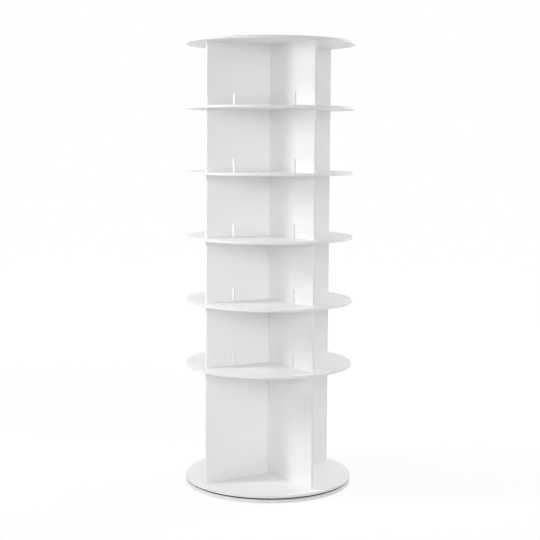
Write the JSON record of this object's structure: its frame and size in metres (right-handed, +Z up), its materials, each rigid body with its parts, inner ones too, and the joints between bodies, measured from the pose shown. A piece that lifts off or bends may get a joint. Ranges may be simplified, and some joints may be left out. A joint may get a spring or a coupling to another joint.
{
  "type": "rotating shoe tower",
  "caption": "Tall round shoe rack: discs stacked on crossed dividers make open compartments on every side, and the whole stack turns on a ball bearing over a fixed base disc.",
  "frame": {"origin": "on the turning axis, at the floor under the non-slip pads", "axes": "+Z up along the turning axis, X and Y along the dividers of every tier at rest"},
  "size_m": [0.4499, 0.45, 1.191],
  "materials": {
    "white_board": "satin white skin of a foamed PVC board, cut edges sanded and painted",
    "bearing_aluminium": "plain turned aluminium",
    "ball_steel": "polished bearing steel",
    "cage_nylon": "natural nylon",
    "screw_steel": "bright zinc plate",
    "pad_foam": "closed-cell foam rubber",
    "glide_felt": "black pressed felt"
  },
  "bodies": {
    "base": {"base_disc": "white_board", "base_pads": "pad_foam", "glide_ring": "glide_felt", "bearing_outer_ring": "bearing_aluminium", "bearing_outer_screws": "screw_steel"},
    "ball_ring": {"bearing_balls": "ball_steel", "bearing_cage": "cage_nylon"},
    "tower": {"bearing_inner_ring": "bearing_aluminium", "bearing_inner_screws": "screw_steel", "turntable_disc": "white_board", "shelf_1": "white_board", "shelf_2": "white_board", "shelf_3": "white_board", "shelf_4": "white_board", "shelf_5": "white_board", "top_disc": "white_board", "tier_1_divider_x": "white_board", "tier_1_divider_y": "white_board", "tier_2_divider_x": "white_board", "tier_2_divider_y": "white_board", "tier_3_divider_x": "white_board", "tier_3_divider_y": "white_board", "tier_4_divider_x": "white_board", "tier_4_divider_y": "white_board", "tier_5_divider_x": "white_board", "tier_5_divider_y": "white_board", "tier_6_divider_x": "white_board", "tier_6_divider_y": "white_board", "tier_1_lower_screws": "screw_steel", "tier_1_upper_screws": "screw_steel", "tier_2_lower_screws": "screw_steel", "tier_2_upper_screws": "screw_steel", "tier_3_lower_screws": "screw_steel", "tier_3_upper_screws": "screw_steel", "tier_4_lower_screws": "screw_steel", "tier_4_upper_screws": "screw_steel", "tier_5_lower_screws": "screw_steel", "tier_5_upper_screws": "screw_steel", "tier_6_lower_screws": "screw_steel", "tier_6_upper_screws": "screw_steel"}
  },
  "joints": [
    {"name": "tower_spin", "type": "hinge", "parent": "base", "child": "tower", "pos_m": [0, 0, 0.0117], "axis": [0, 0, 1], "continuous": true},
    {"name": "ball_ring_spin", "type": "hinge", "parent": "base", "child": "ball_ring", "pos_m": [0, 0, 0.0117], "axis": [0, 0, 1], "continuous": true}
  ],
  "couplings": [
    {"joint": "ball_ring_spin", "follows": "tower_spin", "ratio": 0.48777}
  ]
}
